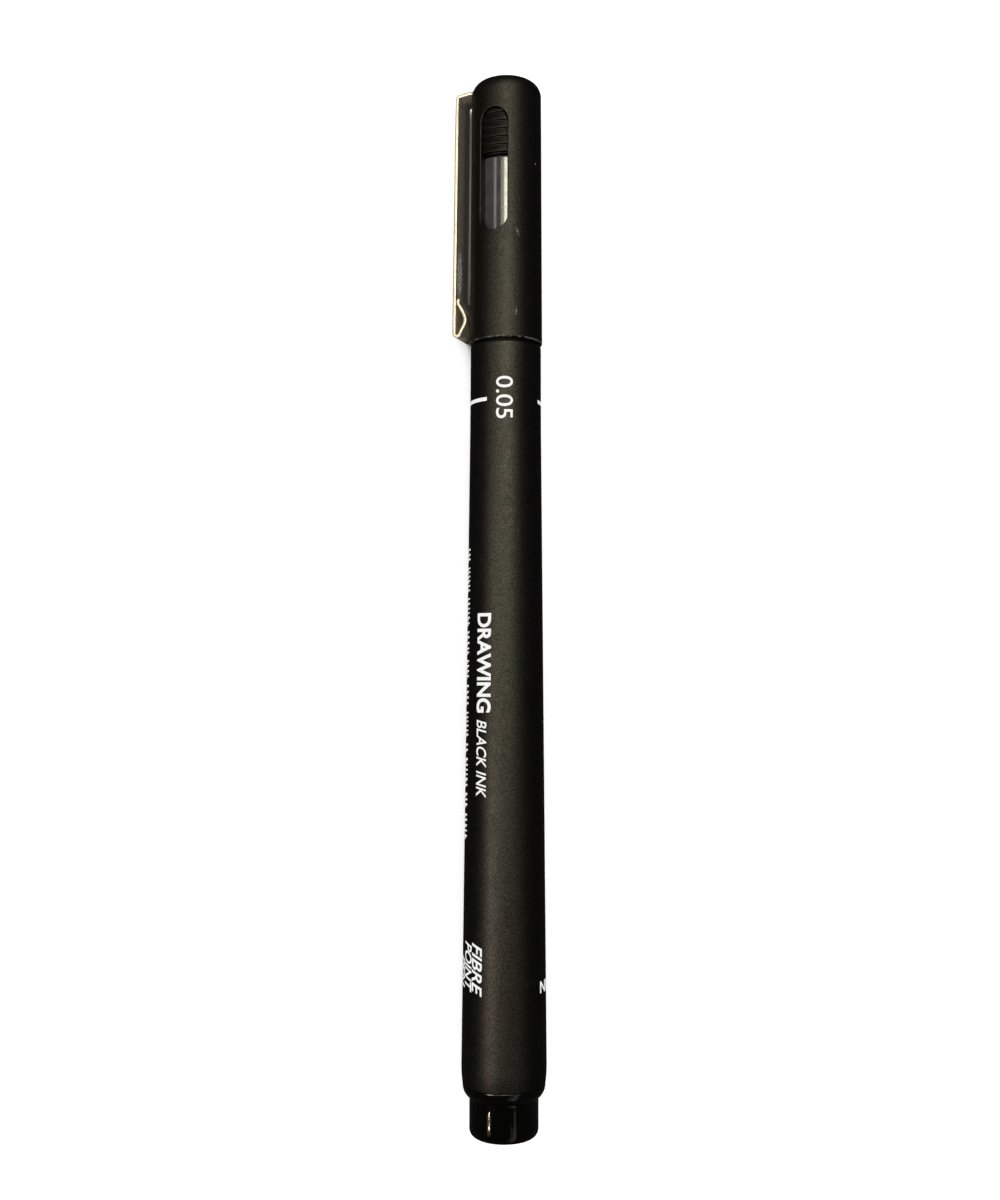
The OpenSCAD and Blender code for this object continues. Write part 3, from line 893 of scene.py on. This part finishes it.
def wrap_flat(bm, name, z_start, angle):
    """Wraps a flat drawing round the barrel: x runs towards the tail and y round towards +X."""
    limits = [v.co.y for v in bm.verts]
    low, high = min(limits), max(limits)
    slices = max(2, int((high - low) / SLICE))
    for k in range(1, slices):
        y = low + (high - low) * k / slices
        everything = bm.verts[:] + bm.edges[:] + bm.faces[:]
        bmesh.ops.bisect_plane(bm, geom=everything, plane_co=(0, y, 0), plane_no=(0, 1, 0))
    top = bm.faces[:]
    base = bmesh.ops.extrude_face_region(bm, geom=top, use_keep_orig=True)
    sunk = {v for v in base["geom"] if isinstance(v, bmesh.types.BMVert)}
    for v in bm.verts:
        z = z_start - v.co.x
        r = barrel_radius(z) + (SUNK if v in sunk else INK)
        v.co = on_pen(r, angle + v.co.y / FRONT_R, z)
    piece = finish_mesh(bm, name, PRINT_INK)
    piece.data.polygons.foreach_set("use_smooth", [False] * len(piece.data.polygons))
    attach(piece, "barrel")
    return piece


def flat_text(words, length, height, weight=0.0, shear=0.0):
    """Plain letters of the built-in face as flat faces, fitted to a length and height in mm."""
    curve = bpy.data.curves.new("letters", "FONT")
    curve.body = words
    curve.size = 1.0
    curve.offset = weight
    curve.shear = shear
    curve.resolution_u = 6
    holder = bpy.data.objects.new("letters", curve)
    bpy.context.scene.collection.objects.link(holder)
    mesh = bpy.data.meshes.new_from_object(holder)
    bpy.data.objects.remove(holder)
    bpy.data.curves.remove(curve)
    bm = bmesh.new()
    bm.from_mesh(mesh)
    bpy.data.meshes.remove(mesh)
    bmesh.ops.remove_doubles(bm, verts=bm.verts, dist=1e-5)
    xs, ys = [v.co.x for v in bm.verts], [v.co.y for v in bm.verts]
    for v in bm.verts:
        v.co = Vector(((v.co.x - min(xs)) / (max(xs) - min(xs)) * length,
                       ((v.co.y - min(ys)) / (max(ys) - min(ys)) - 0.5) * height, 0))
    return bm


def add_bar(bm, x, y, length, height):
    corners = [(x, y), (x + length, y), (x + length, y + height), (x, y + height)]
    bm.faces.new([bm.verts.new((a, b, 0)) for a, b in corners])


def flat_bars(length, height, seed, slant=0.0):
    """A row of small plain bars with the rhythm of words, in place of small print."""
    rng = random.Random(seed)
    bm = bmesh.new()
    x = 0.0
    while x < length:
        for _ in range(rng.randint(2, 6)):
            wide = height * rng.uniform(0.3, 0.55)
            if x + wide > length:
                break
            add_bar(bm, x, -height / 2, wide * 0.5, height)
            add_bar(bm, x + wide * 0.5, -height / 2, wide * 0.5, height * rng.choice((0.22, 0.5)))
            x += wide + height * 0.16
        x += height * 0.5
    for v in bm.verts:
        v.co.x += slant * v.co.y
    bmesh.ops.remove_doubles(bm, verts=bm.verts, dist=1e-5)
    return bm


def ring_line():
    """The line round the barrel, broken on the side that carries the size."""
    bm = bmesh.new()
    start, end = math.radians(60), math.radians(360 - 35)
    steps = 180
    half = 0.26
    soft = 0.03
    side = INK * 0.4
    rows = [(-half, SUNK), (-half, side), (-half + soft, INK),
            (half - soft, INK), (half, side), (half, SUNK)]
    rings = []
    for k in range(steps + 1):
        angle = start + (end - start) * k / steps
        rings.append([bm.verts.new(on_pen(FRONT_R + h, angle, RING_Z + z)) for z, h in rows])
    for a, b in zip(rings, rings[1:]):
        for k in range(len(rows)):
            m = (k + 1) % len(rows)
            bm.faces.new((a[k], a[m], b[m], b[k]))
    bm.faces.new(rings[0])
    bm.faces.new(rings[-1])
    piece = finish_mesh(bm, "print_ring_line", PRINT_INK)
    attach(piece, "barrel")


def make_print():
    """The size, generic words and plain bars. Lengths, heights and starts are in millimetres."""
    ring_line()
    wrap_flat(flat_text("0.05", 5.78, 2.28, 0.004), "print_size", 96.4, math.radians(-5.5))
    wrap_flat(flat_text("DRAWING", 12.75, 2.1, 0.03), "print_title", 64.85, math.radians(-37))
    wrap_flat(flat_text("BLACK INK", 9.75, 1.5, 0.012, 0.25), "print_subtitle", 51.2, math.radians(-40))
    wrap_flat(flat_bars(38, 1.1, 3), "print_small_row", 73.5, math.radians(-79.5))
    notes = (("FIBRE", 6.3, 23.7), ("POINT", 6.0, 23.7), ("PEN", 3.9, 21.9))
    for k, (words, length, start) in enumerate(notes):
        flat = flat_text(words, length, 1.5, 0.015, 0.35)
        wrap_flat(flat, f"print_note_{k}", start, math.radians(-44.3 - 18.7 * k))
    mark = flat_text("NIB", 3.2, 1.42, 0.02)
    mark.transform(Matrix.Rotation(math.pi / 2, 4, "Z"))
    wrap_flat(mark, "print_mark", 18.25, math.radians(54))


# ---- camera, light and floor --------------------------------------------------------------


def turn_to(thing, forward, roll=0.0):
    """Points a camera or lamp along forward, with its upper side towards the cap."""
    forward = forward.normalized()
    right = forward.cross(Vector((0, 1, 0))).normalized()
    head = right.cross(forward)
    rolled_right = right * math.cos(roll) + head * math.sin(roll)
    rolled_head = head * math.cos(roll) - right * math.sin(roll)
    thing.rotation_mode = "QUATERNION"
    thing.rotation_quaternion = Matrix((rolled_right, rolled_head, -forward)).transposed().to_quaternion()


def make_camera():
    """Above the pen, a little towards the clip's side, tipped towards the cap."""
    height = 182.68
    foot = 55.59
    tip = math.radians(9.802)
    side = math.radians(-3.5)
    yaw = math.radians(-0.235)
    roll = math.radians(0.186)
    data = bpy.data.cameras.new("camera")
    data.sensor_width = 36.0
    data.lens = 40.85
    data.shift_y = -0.125
    camera = bpy.data.objects.new("camera", data)
    bpy.context.scene.collection.objects.link(camera)
    up = Vector((math.sin(side), 0, math.cos(side)))
    camera.location = on_pen(height, side, foot)
    forward = (-up * math.cos(tip) + Vector((0, 1, 0)) * math.sin(tip)).normalized()
    forward += forward.cross(Vector((0, 1, 0))).normalized() * math.tan(yaw)
    turn_to(camera, forward, roll)
    data.clip_start, data.clip_end = 0.01, 20
    bpy.context.scene.camera = camera


LAMP_AIM = 75                # height along the pen that the lamps point at


def area_light(name, place, size, radiance, colour):
    """A flat lamp turned to the pen. place is across, along from the tail, and up, in metres."""
    data = bpy.data.lights.new(name, "AREA")
    data.shape = "RECTANGLE"
    data.size, data.size_y = size
    data.energy = radiance * math.pi * size[0] * size[1]
    data.color = colour
    lamp = bpy.data.objects.new(name, data)
    lamp.location = (AXIS_X + place[0], TAIL_Y + place[1], place[2])
    lamp.visible_diffuse = False
    bpy.context.scene.collection.objects.link(lamp)
    turn_to(lamp, on_pen(0, 0, LAMP_AIM) - lamp.location)


def make_lights():
    """The lamps only make highlights. The even room light does the rest."""
    cream, amber = (1.0, 0.95, 0.73), (1.0, 0.86, 0.70)
    area_light("soft_cap", (0.26, 0.40, 1.0), (0.50, 0.34), 4.2, cream)
    area_light("soft_front", (0.10, 0.22, 1.0), (0.42, 0.16), 7.0, cream)
    area_light("soft_cap_edge", (-0.08, 0.45, 1.0), (0.22, 0.26), 14.0, cream)
    area_light("soft_cap_fade", (-0.32, 0.45, 1.0), (0.24, 0.26), 2.8, cream)
    area_light("soft_middle", (-0.42, 0.12, 1.0), (0.34, 0.34), 6.0, cream)
    area_light("soft_tail", (-0.90, -0.14, 1.0), (0.36, 0.42), 13.5, amber)
    area_light("panel_right", (0.70, -0.16, 1.0), (0.30, 0.26), 1.3, (0.95, 0.93, 1.0))
    area_light("panel_plug", (0.54, -0.95, 1.0), (0.55, 1.30), 0.28, (1.0, 0.80, 0.72))
    area_light("panel_plug_bright", (0.64, -0.95, 1.0), (0.20, 1.30), 0.40, (1.0, 0.82, 0.74))
    area_light("strip_clip", (-1.10, 0.64, 1.0), (0.24, 0.50), 2.2, (1.0, 0.96, 0.86))
    area_light("crown", (0.10, 1.25, 1.0), (0.6, 0.5), 2.5, cream)
    for k, along in enumerate((-0.4815, -0.4970)):
        area_light(f"bulb_{k}", (-1.341, along, 1.0), (0.012, 0.004), 500, (1.0, 0.90, 0.75))
    area_light("bulb_housing", (-1.38, -0.504, 1.001), (0.40, 0.022), 1.3, (1.0, 0.60, 0.30))


def make_world():
    """Even pale light for the surface, and a dim room in reflections."""
    world = bpy.data.worlds.new("room")
    world.use_nodes = True
    bpy.context.scene.world = world
    tree = world.node_tree
    even = tree.nodes["Background"]
    even.inputs["Color"].default_value = (0.97, 0.98, 1.0, 1)
    even.inputs["Strength"].default_value = 1.30
    dim = tree.nodes.new("ShaderNodeBackground")
    dim.inputs["Color"].default_value = (1.0, 0.97, 0.92, 1)
    dim.inputs["Strength"].default_value = 0.03
    path = tree.nodes.new("ShaderNodeLightPath")
    mix = tree.nodes.new("ShaderNodeMixShader")
    tree.links.new(path.outputs["Is Glossy Ray"], mix.inputs["Fac"])
    tree.links.new(even.outputs["Background"], mix.inputs[1])
    tree.links.new(dim.outputs["Background"], mix.inputs[2])
    tree.links.new(mix.outputs["Shader"], tree.nodes["World Output"].inputs["Surface"])


def make_floor():
    half = 1.5
    bm = bmesh.new()
    corners = [(-half, -half), (half, -half), (half, half), (-half, half)]
    bm.faces.new([bm.verts.new((x, y, FLOOR_Z)) for x, y in corners])
    floor = finish_mesh(bm, "table_top", pale_table())
    floor.visible_glossy = False


# ---- the scene ----------------------------------------------------------------------------

make_camera()
make_barrel()
make_plug()
make_nib(make_grip())
make_cap()
make_inner_cap()
make_clip_holder()
make_clip()
make_print()
for node_name, look in (("feed_wick", WICK_FIBRE), ("ink_reservoir", WICK_FIBRE), ("reservoir_film", FILM)):
    part = frame["nodes"][node_name]
    part.data.materials.clear()
    part.data.materials.append(look)
make_floor()
make_lights()
make_world()
bpy.context.scene.view_settings.view_transform = "Standard"
